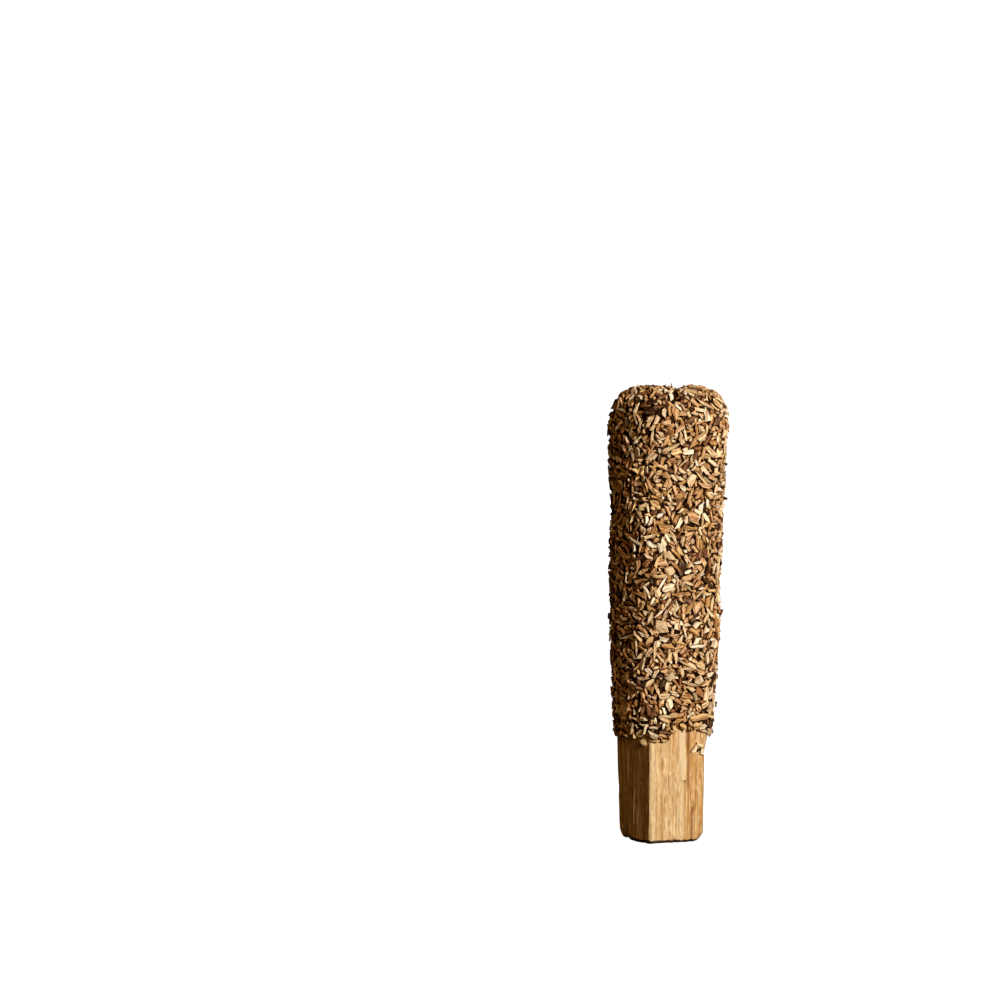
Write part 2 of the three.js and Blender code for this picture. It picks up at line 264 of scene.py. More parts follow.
def binder_material():
    """Crumbs and wood dust in dried resin, seen only in the gaps between chips. Its dark colour is also
    painted shade for those gaps.
    """
    g = Graph("resin_dust_and_shade")
    where = g.place()
    grains = g.add("TexVoronoi", Vector=where, Scale=1900).outputs["Color"]
    shade = g.add("SeparateColor", Color=grains).outputs["Red"]
    patches = g.noise(where, 500, 3)
    # Painted shade: near-black browns stand for the shade in the gaps between chips.
    colour = g.mix(shade, "1c0c02", "361c08")
    colour = g.mix(g.ramp(patches, 0.5, 0.7, 0.5), colour, "281c0a")
    return g.finish(colour, patches, (0.45, 0.9), shade, relief=0.15, specular=0.05)


def floor_material():
    """Its glow keeps it white all over, but for a painted shadow: the dark line under the foot's front edges.
    """
    g = Graph("pale_floor")
    colour = g.mix(g.noise(g.place(), 3, 2), "767676", "7a7a7a")
    away = g.add("VectorMath", {"operation": "LENGTH"}, _0=g.place()).outputs["Value"]
    glow = g.ramp(away, *FLOOR_GLOW_REACH, bottom=FLOOR_GLOW[0], top=FLOOR_GLOW[1])
    contact = g.value("contact")
    # Painted shadow: where contact is 1 the floor is dark and does not glow.
    colour = g.mix(contact, colour, "2e2010")
    glow = g.maths("MULTIPLY", glow, g.maths("SUBTRACT", 1.0, contact))
    shader = g.add("BsdfPrincipled", Base_Color=colour, Roughness=0.9, Emission_Strength=glow)
    shader.inputs["Specular IOR Level"].default_value = 0.0
    shader.inputs["Emission Color"].default_value = (1, 1, 1, 1)
    g.add("OutputMaterial", Surface=shader.outputs[0])
    return g.material


# Meshes

def loft(rings):
    """A closed skin over rings of points, [row, column, xyz], each anticlockwise as seen from the last.

    Returns its points, its triangles, and each corner's place on the unrolled skin, from 0 to 1 each way.
    """
    rows, columns = rings.shape[:2]
    k = np.arange(columns)
    row, column = (a.ravel() for a in np.meshgrid(np.arange(rows - 1), k, indexing="ij"))
    a, b = (row, column), (row, column + 1)
    d, c = (row + 1, column), (row + 1, column + 1)
    corners = np.array([[a, b, c], [a, c, d]]).transpose(3, 0, 1, 2).reshape(-1, 3, 2)
    faces = corners[..., 0] * columns + corners[..., 1] % columns
    points = np.concatenate([rings.reshape(-1, 3), rings[:1].mean(axis=1), rings[-1:].mean(axis=1)])
    hub = np.full(columns, rows * columns)
    last = (rows - 1) * columns
    low = np.stack([(k + 1) % columns, k, hub], 1)
    high = np.stack([last + k, last + (k + 1) % columns, hub + 1], 1)
    zero = np.zeros(columns)
    low_corners = np.array([[zero, k + 1], [zero, k], [zero - 1, k + 0.5]]).transpose(2, 0, 1)
    top = zero + rows - 1
    high_corners = np.array([[top, k], [top, k + 1], [top + 1, k + 0.5]]).transpose(2, 0, 1)
    places = np.concatenate([corners, low_corners, high_corners]) + (1, 0)
    places = places / (rows + 1, columns)
    return points, np.concatenate([faces, low, high]), places[..., ::-1]


def flat(values, kind=np.float32):
    return np.ascontiguousarray(values, dtype=kind).ravel()


def mesh_object(name, points, faces, material, smooth=False):
    """A mesh from points in millimetres and an array of triangles."""
    mesh = bpy.data.meshes.new(name)
    mesh.vertices.add(len(points))
    mesh.vertices.foreach_set("co", flat(points * MM))
    mesh.loops.add(faces.size)
    mesh.loops.foreach_set("vertex_index", flat(faces, np.int32))
    mesh.polygons.add(len(faces))
    mesh.polygons.foreach_set("loop_start", np.arange(0, faces.size, 3, dtype=np.int32))
    mesh.polygons.foreach_set("use_smooth", np.full(len(faces), smooth))
    mesh.update(calc_edges=True)
    mesh.materials.append(material)
    return linked(name, mesh)


def set_values(piece, name, values):
    """A number, or a colour of four, for each vertex."""
    kind, key = ("FLOAT_COLOR", "color") if values.ndim == 2 else ("FLOAT", "value")
    layer = piece.data.attributes.new(name, kind, "POINT")
    layer.data.foreach_set(key, flat(values))


def set_map(piece, name, places):
    layer = piece.data.uv_layers.new(name=name)
    layer.data.foreach_set("uv", flat(places))


def into(places, low, high):
    """Places on an unrolled skin, fitted into a part of the map."""
    return np.asarray(low) + places * (np.asarray(high) - low)


NOISE_VALUES = 4096  # a power of two
NOISE_MIXERS = np.array([73856093, 19349663, 83492791])  # large primes


def unit(vector):
    return vector / np.linalg.norm(vector)


def value_noise(points, seed):
    """Smooth noise from -1 to 1 at each point, on a lattice of unit cells."""
    table = np.random.default_rng(seed).uniform(-1, 1, NOISE_VALUES)
    cell = np.floor(points).astype(np.int64)
    share = points - cell
    share = share * share * (3 - 2 * share)
    total = np.zeros(len(points))
    for corner in itertools.product((0, 1), repeat=3):
        value = table[((cell + corner) * NOISE_MIXERS).sum(axis=1) & (NOISE_VALUES - 1)]
        total += value * np.prod(np.where(corner, share, 1 - share), axis=1)
    return total


def noise_on_line(places, seed):
    return value_noise(np.stack([places, 0 * places, 0 * places], 1), seed)


def near(value, middle, width):
    """1 at the middle, and next to nothing two widths away."""
    return np.exp(-(((value - middle) / width) ** 2))


def fade(value, low, high):
    """0 at low, 1 at high, and smooth between."""
    share = np.clip((value - low) / (high - low), 0, 1)
    return share * share * (3 - 2 * share)


# The split stick

SECTION = {  # corners of the split section at the foot, anticlockwise from above
    "front_left": (-6.6, -7.3),
    "front_ridge": (2.15, -8.1),
    "front_right": (6.95, -7.4),
    "back_right": (9.25, 2.8),
    "back": (0.75, 8.1),
    "back_left": (-9.7, 4.8),
}
CORNERS = np.array(list(SECTION.values()))
CAD_STICK_LENGTH = 104
STICK_LENGTH = 103.6
WIDENING = 0.0007
BEND = 1.3
HANDLE_TOP = 30
COLUMN_STEP = 0.15
ROW_STEP = 0.28
SPLINTERED = (1, 0.1)  # up to where the rows are closer, and how close
HIDDEN_ROWS = 8  # inside the crust
END_SHARES = (0.97, 0.9, 0.75, 0.5, 0.25, 0.05)  # of the section, in the rings that close each end
FOOT_RING = len(END_SHARES)  # the one that stands on the floor
BARE_LAYER = 0.1  # how far the bare wood stands out from the CAD's flat sides
GRAIN_WAVES = [(0.16, 2.6, 34, 1), (0.07, 0.8, 16, 2), (0.045, 0.33, 7, 3)]  # depth, width, length, seed
NICKS = (0.25, 0.9, 3, 0.35)  # depth, width, length, rarity
SWAYS = (0.25, 9)  # how far the grooves wander, and in what length
GROOVES = [  # how far round from the front ridge, width, depth, share of the sways, steps: share, low, high
    (0.45, 0.34, 0.65, 0.5, [(0.25, 13, 17), (0.75, 20, 23)]),
    (2.2, 0.3, 0.25, -1, [(1, -2, -1), (-1, 7, 11)]),
]
WORN_DEPTH = (0.6, 0.4)  # of the foot's edge, and what is added where it is ragged
WORN_HEIGHT = (0.34, 0.16, 0.15)  # its unevenness and its softness
BROKEN = {"back_left": (1.2, 7, 2.4), "front_right": (1.3, 1.5, 2.0)}  # depth, reach, height, at the foot
SWOLLEN_LEFT = (0.018, 4, (1, 7))  # how fast it grows with height, from where, and from where round to where
SWOLLEN_RIGHT = [(0, 2, 0.12, (-2, -1)), (1.2, 1.8, 0.9, (21, 26))]  # how far round, width, depth, rise
BLUNT = (0.12, 0.3)  # depth and reach at each corner of the section
PITS = (0.12, 0.5)  # depth and width in the foot's underside
STRIP = {
    "foot": 14.4, "top": 31, "width": 1.9, "proud": 0.3,
    "aside": 0.6, "drift": 0.7,  # to the left of the ridge, and what is added at the handle's top
    "end": 0.2, "curl": 0.12,  # in this share of its height its lower end narrows and curls out
    "slant": 0.65, "slanted": 0.12,  # how much higher it ends at the right, and in which share it does
}
STRIP_ROWS = 70
STRIP_COLUMNS = 11
STRIP_BACK = (0.8, 0.3, -0.3, -0.8)  # its hidden columns, as shares of half its width
FACE_SLOPE = 0.09  # of the broad front face, back to the left


def width_at(z):
    return 1 + WIDENING * z


def bend_at(z):
    return BEND * (z / CAD_STICK_LENGTH) ** 2


def section_outline():
    """Points round the section, the way out at each, how far round each is, and how far the corners are."""
    following = np.roll(CORNERS, -1, axis=0)
    lengths = np.linalg.norm(following - CORNERS, axis=1)
    starts = np.concatenate([[0], np.cumsum(lengths)])
    arc = np.arange(0, starts[-1], starts[-1] / int(starts[-1] / COLUMN_STEP))
    side = np.clip(np.searchsorted(starts, arc, side="right") - 1, 0, len(CORNERS) - 1)
    share = ((arc - starts[side]) / lengths[side])[:, None]
    points = CORNERS[side] * (1 - share) + following[side] * share
    along = np.roll(points, -2, axis=0) - np.roll(points, 2, axis=0)
    outward = np.stack([along[:, 1], -along[:, 0]], axis=1)
    return points, outward / np.linalg.norm(outward, axis=1)[:, None], arc, starts


def stick_rings():
    section, outward, arc, starts = section_outline()
    fine_top, fine_step = SPLINTERED
    heights = np.concatenate([
        np.arange(0, fine_top, fine_step),
        np.arange(fine_top + fine_step, HANDLE_TOP, ROW_STEP),
        np.linspace(HANDLE_TOP + 1, STICK_LENGTH, HIDDEN_ROWS),
    ])
    z, s = (a.ravel() for a in np.meshgrid(heights, arc, indexing="ij"))
    at = np.tile(section, (len(heights), 1))
    out = np.tile(outward, (len(heights), 1))
    ridge, right = starts[1], starts[2]

    def wavy(across, along, seed):
        return value_noise(np.stack([s / across, z / along, 0 * z], 1), seed)

    grain = sum(depth * wavy(across, along, seed) for depth, across, along, seed in GRAIN_WAVES)
    sways = SWAYS[0] * noise_on_line(z / SWAYS[1], 4)
    grooves = 0
    for aside, width, depth, share, steps in GROOVES:
        reach = sum(step * fade(z, low, high) for step, low, high in steps)
        grooves = grooves + depth * near(s, ridge + aside + share * sways, width) * reach
    depth, width, length, rarity = NICKS
    nicks = depth * np.maximum(wavy(width, length, 5) - rarity, 0)
    ragged = WORN_DEPTH[0] + WORN_DEPTH[1] * np.abs(noise_on_line(s / 1.1, 6))
    height, uneven, soft = WORN_HEIGHT
    lip = height + uneven * noise_on_line(s / 0.8, 12)
    bevel = ragged * (1 - fade(z, lip - soft, lip + soft))
    from_left = np.hypot(at[:, 0] - SECTION["back_left"][0], at[:, 1] - SECTION["back_left"][1])
    depth, reach, height = BROKEN["back_left"]
    broken = depth * (1 - fade(from_left, 0, reach)) * np.clip(1 - z / height, 0, 1) ** 2
    depth, reach, height = BROKEN["front_right"]
    broken += depth * near(s, right, reach) * (1 - fade(z, 0, height))
    slope, start, reach = SWOLLEN_LEFT
    swelling = slope * (z - start) * (1 - fade(from_left, *reach))
    for aside, width, depth, rise in SWOLLEN_RIGHT:
        swelling += depth * near(s, right + aside, width) * fade(z, *rise)
    blunt = sum(BLUNT[0] * near(s, start, BLUNT[1]) for start in starts)
    bare = 1 - fade(z, HANDLE_TOP - 1, HANDLE_TOP + 2)
    covered = near(s, ridge - 1, 1.3) * fade(z, STRIP["foot"] - 1, STRIP["foot"])
    relief = BARE_LAYER + grain * (1 - covered) + swelling - grooves - nicks
    offset = relief * bare - bevel - broken - blunt
    points = np.empty((len(z), 3))
    points[:, :2] = at * width_at(z)[:, None] + out * offset[:, None]
    points[:, 0] += bend_at(z)
    points[:, 2] = z
    side = points.reshape(len(heights), len(arc), 3)

    def shrunk(ring, shares):
        middle = ring.mean(axis=0)
        return [middle + (ring - middle) * share for share in shares]

    rings = np.array([*shrunk(side[0], END_SHARES[::-1]), *side, *shrunk(side[-1], END_SHARES)])
    underside = slice(1, FOOT_RING - 1)
    pits = PITS[0] * np.abs(value_noise(rings[underside].reshape(-1, 3) / PITS[1], 7))
    rings[underside, :, 2] += pits.reshape(-1, len(arc))
    return rings, np.tile(arc, len(rings)), starts


def strip_rings():
    """A strip left standing by the front ridge. Its lower end narrows, slants and curls out from the face."""
    across = np.linspace(-1, 1, STRIP_COLUMNS)
    z = np.linspace(STRIP["foot"], STRIP["top"], STRIP_ROWS)[:, None]
    up = (z - STRIP["foot"]) / (HANDLE_TOP - STRIP["foot"])
    width = width_at(z)
    ridge_x, ridge_y = (place * width for place in SECTION["front_ridge"])
    middle = ridge_x - STRIP["aside"] - STRIP["drift"] * up
    edge = 0.12 * noise_on_line(z.ravel() / 1.3, 8)[:, None]
    half = STRIP["width"] / 2 * (0.6 + 0.4 * fade(up, 0, STRIP["end"])) + edge
    face = ridge_y + FACE_SLOPE * (ridge_x - middle)
    lift = STRIP["curl"] * (1 - fade(up, 0, STRIP["end"])) ** 2
    front = face - STRIP["proud"] * (0.55 + 0.45 * across) - lift + 0.12 * across ** 4
    back = front[:, [STRIP_COLUMNS // 2]] + 0.28 + 0.6 * fade(up, 0.02, 0.25)
    behind = np.array(STRIP_BACK)
    x = np.concatenate([middle + half * across, middle + half * behind], axis=1) + bend_at(z)
    y = np.concatenate([front, back + 0 * behind], axis=1)
    slant = STRIP["slant"] * (np.concatenate([across, behind]) + 1) / 2 * (1 - fade(up, 0, STRIP["slanted"]))
    return np.stack([x, y, z + slant], axis=2)


# how much of the warm brown: the left face's is painted shade, the right facet's is the wood's own tone
SIDE_WARMTH = {"left": 0.18, "right": 0.04}
STRIP_END_SHADOWS = {  # painted shadow under the strip's curled end, in warmth and painted_shade: how far round from the front ridge, width, height and its spread, strength
    "warmth": (0, 0.25, 14.1, 0.45, 0.6),
    "painted_shade": (-0.15, 0.3, 14.6, 0.26, 0.95),
}
FOOT_SHADE = (0.95, 0.2, 0.42)  # painted shade along the foot's lower edge: its strength, and between which heights it ends
PALENESS = 0.3  # of the left corner and of the face beside the strip
STRIP_PALE = 0.65
MAP_MARGIN = 0.01
STRIP_MAP = 0.92  # where the strip's part of the baked map starts
SEAMS = [  # brown streaks: how far round from the front ridge, width, lower and upper end, strength
    (0.75, 0.42, 13, 29, 0.75),
    (1.9, 0.3, -2, 8.5, 0.9),
    (4.0, 0.35, -2, 8, 0.4),
    (4.0, 0.3, 15, 19, 0.3),
    (2.9, 0.3, 9, 13, 0.28),
    (2.9, 0.25, 18, 22, 0.25),
    (-0.2, 0.25, -2, 12, 0.22),
    (-3.1, 0.3, 4, 20, 0.12),
    (-5.8, 0.4, -2, 14, 0.12),
]


def add_stick(material):
    rings, s, starts = stick_rings()
    points, faces, places = loft(rings)
    strip = strip_rings()
    strip_points, strip_faces, strip_places = loft(strip)
    piece = mesh_object(
        "split_stick",
        np.concatenate([points, strip_points]),
        np.concatenate([faces, strip_faces + len(points)]),
        material,
        smooth=True,
    )
    z = points[:, 2]
    s = np.concatenate([s, [0, 0]])
    ridge, right, left = starts[1], starts[2], starts[5]

    # Painted shadow under the strip's curled end, as a share of a colour.
    def darkening(name):
        aside, width, height, tall, share = STRIP_END_SHADOWS[name]
        return share * near(s, ridge + aside, width) * near(z, height, tall)

    on_right = fade(s, ridge + 0.2, ridge + 0.9) * (1 - fade(s, right - 0.3, right + 0.6))
    on_left = fade(s, left + 0.2, left + 0.8)
    # Warmth: painted shade on the left face and under the strip's end, the wood's own tone on the right facet
    # and in the seams.
    warmth = SIDE_WARMTH["right"] * on_right + darkening("warmth") + SIDE_WARMTH["left"] * on_left
    for across, width, low, high, share in SEAMS:
        span = fade(z, low - 1, low + 1) * (1 - fade(z, high - 1, high + 1))
        warmth += share * near(s, ridge + across, width) * span
    # Painted shade: darker along the foot's lower edge and in a spot under the strip's curled end.
    painted_shade = FOOT_SHADE[0] * (1 - fade(z, *FOOT_SHADE[1:])) + darkening("painted_shade")
    pale = PALENESS * near(s, 0.6, 0.9) + PALENESS * near(s, ridge - 1.1, 1.0)
    for name, values, on_strip in (("warmth", warmth, 0), ("painted_shade", painted_shade, 0), ("paleness", pale, STRIP_PALE)):
        shares = np.concatenate([np.clip(values, 0, 1), np.full(len(strip_points), on_strip)])
        set_values(piece, name, shares)
    set_map(piece, "OFBake", np.concatenate([
        into(places, MAP_MARGIN, (STRIP_MAP - MAP_MARGIN, 1 - MAP_MARGIN)),
        into(strip_places, (STRIP_MAP, MAP_MARGIN), 1 - MAP_MARGIN),
    ]))
    return dressed(piece, "split_wood", "stick")


def dressed(piece, slot, *nodes):
    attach(piece, "root")
    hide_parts(*nodes)
    return piece


# The crust's surface, met by rays from the axis: level ones up the side, then a fan over the end

FAN_HEIGHT = 99
FAN_UP = 20
UP_LOW = 20.0
UP_HIGH = FAN_HEIGHT + FAN_UP
UP_STEP = 0.5
TURN_COUNT = 240
FAR_OUT = 40
EVENING = (4, 3)  # of the tables, in steps round and up
SETTLED = 4  # how many steps above its lower edge the crust has its full depth


def crust_rays(turn, up):
    z = np.minimum(up, FAN_HEIGHT)
    rise = np.clip((up - z) / FAN_UP, 0, 1) * math.pi / 2
    start = np.stack([bend_at(z), 0 * z, z], axis=-1)
    way = np.stack([np.cos(turn) * np.cos(rise), np.sin(turn) * np.cos(rise), np.sin(rise)], axis=-1)
    return start, way


def table_places():
    """The up and the turn of every place in a table."""
    ups = np.arange(UP_LOW, UP_HIGH + UP_STEP / 2, UP_STEP)
    return np.meshgrid(ups, np.arange(TURN_COUNT) * FULL_TURN / TURN_COUNT, indexing="ij")


def reaches(node):
    """How far out a CAD node's surface is on each ray, by up and turn, or 0 where a ray misses."""
    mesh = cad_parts[node].data
    points = [v.co / MM for v in mesh.vertices]
    tree = BVHTree.FromPolygons(points, [tuple(p.vertices) for p in mesh.polygons])
    up, turn = table_places()
    start, way = crust_rays(turn, up)
    outside = (start + way * FAR_OUT).reshape(-1, 3)
    found = np.zeros(len(outside))
    for i, (origin, inward) in enumerate(zip(outside.tolist(), (-way.reshape(-1, 3)).tolist())):
        distance = tree.ray_cast(Vector(origin), Vector(inward))[3]
        if distance is not None:
            found[i] = FAR_OUT - distance
    return found.reshape(up.shape)


def blurred(table, sigma_rows, sigma_columns):
    """Smoothed along both ways. It closes on itself round the turn, and keeps its first and last rows."""
    for axis, sigma in ((0, sigma_rows), (1, sigma_columns)):
        reach = int(3 * sigma) + 1
        steps = np.arange(-reach, reach + 1)
        weights = np.exp(-0.5 * (steps / sigma) ** 2)
        weights /= weights.sum()
        padding = [(0, 0), (0, 0)]
        padding[axis] = (reach, reach)
        wide = np.pad(table, padding, mode="edge" if axis == 0 else "wrap")
        count = table.shape[axis]
        table = sum(w * np.take(wide, np.arange(count) + i, axis=axis) for i, w in enumerate(weights))
    return table


def looked_up(table, turn, up):
    row = np.clip((up - UP_LOW) / UP_STEP, 0, table.shape[0] - 1.001)
    column = (turn / FULL_TURN * TURN_COUNT) % TURN_COUNT
    r, c = row.astype(int), column.astype(int)
    dr, dc = row - r, column - c
    c, d = c % TURN_COUNT, (c + 1) % TURN_COUNT
    low = table[r, c] * (1 - dc) + table[r, d] * dc
    high = table[r + 1, c] * (1 - dc) + table[r + 1, d] * dc
    return low * (1 - dr) + high * dr


LOWER_EDGE = [  # the crust's ragged lower edge: turn in degrees, and height
    (0, 25.3), (150, 25.0), (190, 24.9), (214, 25.6), (221, 26.6), (227, 26.3), (231, 24.6),
    (240, 24.2), (252, 24.4), (259, 25.8), (263, 28.0), (269, 28.8), (277, 28.2), (284, 27.0),
    (290, 26.6), (300, 26.9), (313, 25.8), (326, 25.3), (338, 24.8), (352, 25.3), (360, 25.3),
]
TRIMS = [  # small corrections of the crust's outline: turn and its spread, height and its spread, amount
    (160, 30, 78, 10, -0.35),
    (160, 30, 36, 8, -0.4),
    (160, 30, 97, 4, 0.25),
    (170, 35, 110, 4, 0.42),
    (325, 25, 105, 4, 0.45),
    (325, 25, 98.5, 5, 0.35),
    (234, 7, 90, 7, 0.35),
    (217, 7, 90, 7, -0.35),
    (330, 28, 33, 6, -0.55),
]
THIN_EDGE = [(243, 17, 1.0), (315, 22, 0.6)]  # where the crust thins out to its edge: turn, spread, share
THINNING = (3.5, 1.0)  # how far above the edge it starts, and how thick the thinnest crust is
TOP_NOTCH = {"aside": 3.25, "width": 0.8, "depth": 1.4, "rise": (104, 107)}  # aside as the camera sees it


def lower_edge(turn):
    turns, heights = np.array(LOWER_EDGE).T
    return np.interp(np.degrees(turn), turns, heights)


def measured_crust():
    """Tables of how far out the crust and the stick are."""
    crust, stick = reaches("chip_crust"), reaches("stick")
    settled = np.minimum((crust > 0).argmax(axis=0) + SETTLED, crust.shape[0] - 1)
    rows = np.arange(crust.shape[0])[:, None]
    edge = crust[settled, np.arange(TURN_COUNT)]
    crust = np.where(rows < settled, edge, crust)
    crust = blurred(crust, EVENING[1], EVENING[0])
    up, turn = table_places()
    start, way = crust_rays(turn, up)
    points = start + way * crust[..., None]
    aside = points[..., 0] * math.cos(CAMERA_AZIMUTH) + points[..., 1] * math.sin(CAMERA_AZIMUTH)
    high = fade(points[..., 2], *TOP_NOTCH["rise"])
    crust = crust - TOP_NOTCH["depth"] * near(aside, TOP_NOTCH["aside"], TOP_NOTCH["width"]) * high
    degrees = np.degrees(turn)
    for middle, spread, height, tall, amount in TRIMS:
        crust = crust + amount * near(degrees, middle, spread) * near(up, height, tall)
    edge = lower_edge(turn)
    thinning, thinnest = THINNING
    for middle, spread, share in THIN_EDGE:
        thinned = share * near(degrees, middle, spread) * (1 - fade(up, edge, edge + thinning))
        crust = crust - thinned * np.maximum(crust - stick - thinnest, 0)
    return crust, stick


# Chips: bits of chopped wood, each lofted from a few uneven stations along its grain

CHIP_CORNERS = 6
CHIP_STATIONS = 5
CHIP_SHAPES = 32
SQUARENESS = 0.45  # a power: 1 for a round section, 0 for a square one
END_WIDTHS = [0.4, 0.75, 0.9, 1.0, 1.05]


def either_way(most, count=None):
    return rng.uniform(-most, most, count)


def chip_shape():
    """A chip that is one unit long, wide and thick, with its grain along X."""
    angle = (np.arange(CHIP_CORNERS) + either_way(0.28, CHIP_CORNERS)) * FULL_TURN / CHIP_CORNERS
    y, z = (np.sign(a) * np.abs(a) ** SQUARENESS for a in (np.cos(angle), np.sin(angle)))
    x = np.linspace(-0.5, 0.5, CHIP_STATIONS)
    x[1:-1] += either_way(0.07, CHIP_STATIONS - 2)
    wide = rng.uniform(0.85, 1.1, CHIP_STATIONS)
    wide[[0, -1]] = rng.choice(END_WIDTHS, 2)
    thick = rng.uniform(0.8, 1.1, CHIP_STATIONS)
    thick[[0, -1]] = rng.uniform(0.6, 1.0, 2)
    slant = np.interp(x, [-0.5, 0.5], either_way(0.28, 2))
    lean = np.interp(x, [-0.5, 0.5], either_way(0.12, 2))
    sway, bow = either_way(0.18), either_way(0.45)
    rings = np.empty((CHIP_STATIONS, CHIP_CORNERS, 3))
    for i in range(CHIP_STATIONS):
        jag = either_way(0.05, CHIP_CORNERS)
        rough = rng.uniform(0.88, 1.08, CHIP_CORNERS)
        rings[i, :, 0] = x[i] + slant[i] * y + lean[i] * z + jag
        arch = 4 * x[i] ** 2 - 0.5
        rings[i, :, 1] = wide[i] * y * rough + sway * arch
        rings[i, :, 2] = thick[i] * z * rough + bow * arch
    points, faces, places = loft(rings)
    low, high = points.min(axis=0), points.max(axis=0)
    return (points - (low + high) / 2) / (high - low), faces, places


PALETTE = {  # a chip's colour, and how common it is
    "cream": ("e0bf8c", 24),
    "pale": ("ead4a6", 11),
    "tan": ("cfa069", 24),
    "ochre": ("b9874b", 15),
    "straw": ("dcb273", 10),
    "rust": ("9a6434", 3),
    "clay": ("c08e58", 3),
    "brown": ("6e4322", 6),
    "dark": ("44260f", 3),
    "dust": ("ac9468", 1),
}
SHADE_SPREAD = 0.08
SHADE_AND_TONE_TINT = np.array((0.75, 1.1, 2.1))  # how fast red, green and blue go down as a chip darkens, by painted shade or by its random tone
GRAIN_PLACES = 90  # where on the endless grain a chip may be cut from
MAP_CELL = (0.06, 0.88)  # where a chip's part of its cell in the baked map starts, and its side


class ChipHeap:
    """Chips to be joined in one mesh."""

    def __init__(self, shapes):
        self.shapes = shapes
        self.chips = []

    def add(self, centre, axes, size, colour):
        shape = int(rng.integers(len(self.shapes)))
        self.chips.append((centre, axes, size, colour, shape, rng.uniform(0, GRAIN_PLACES, 2)))

    def build(self, name, material):
        """Every chip has a cell of its own in the baked map, and its own stretch of the grain."""
        side = math.ceil(math.sqrt(len(self.chips)))
        points, faces, bake, grain, colours = [], [], [], [], []
        count = 0
        for n, (centre, axes, size, colour, shape, offset) in enumerate(self.chips):
            local, triangles, places = self.shapes[shape]
            points.append(centre + (local * size) @ axes)
            faces.append(triangles + count)
            cell = np.array([n % side, n // side])
            bake.append((cell + MAP_CELL[0] + MAP_CELL[1] * places) / side)
            grain.append(places[..., ::-1] * (size[0], 2 * (size[1] + size[2])) + offset)
            colours.append(np.tile(colour, (len(local), 1)))
            count += len(local)
        piece = mesh_object(name, np.concatenate(points), np.concatenate(faces), material)
        set_values(piece, "chip_colour", np.concatenate(colours))
        set_map(piece, "OFBake", np.concatenate(bake))
        set_map(piece, "grain", np.concatenate(grain))
        return piece


def picked_colour(shade):
    codes, weights = zip(*PALETTE.values())
    code = codes[rng.choice(len(codes), p=np.array(weights) / sum(weights))]
    return tinted(code, shade * rng.lognormal(0, SHADE_SPREAD))


def tinted(code, shade):
    """A colour darkened by a share that holds painted shade and random tone. It turns brown as it darkens."""
    colour = np.array(linear(code))
    colour[:3] *= shade ** SHADE_AND_TONE_TINT
    return colour


CHOPPED = [  # how common, length, width and thickness
    (58, (2.2, 3.8), (0.85, 1.35), (0.6, 1.0)),
    (14, (3.2, 5.2), (0.5, 0.85), (0.45, 0.7)),
    (8, (2.4, 3.6), (1.5, 2.2), (0.4, 0.65)),
    (20, (1.2, 2.0), (0.7, 1.1), (0.5, 0.85)),
]
SMALL = [  # the same
    (60, (1.4, 2.4), (0.5, 0.9), (0.35, 0.6)),
    (40, (0.9, 1.4), (0.5, 0.8), (0.35, 0.5)),
]


def picked_size(kinds):
    weights = np.array([kind[0] for kind in kinds])
    kind = kinds[rng.choice(len(kinds), p=weights / weights.sum())]
    return np.array([rng.uniform(*span) for span in kind[1:]])


CELLS_FROM = 1  # how far above the tables' lowest row the cells of the crust start


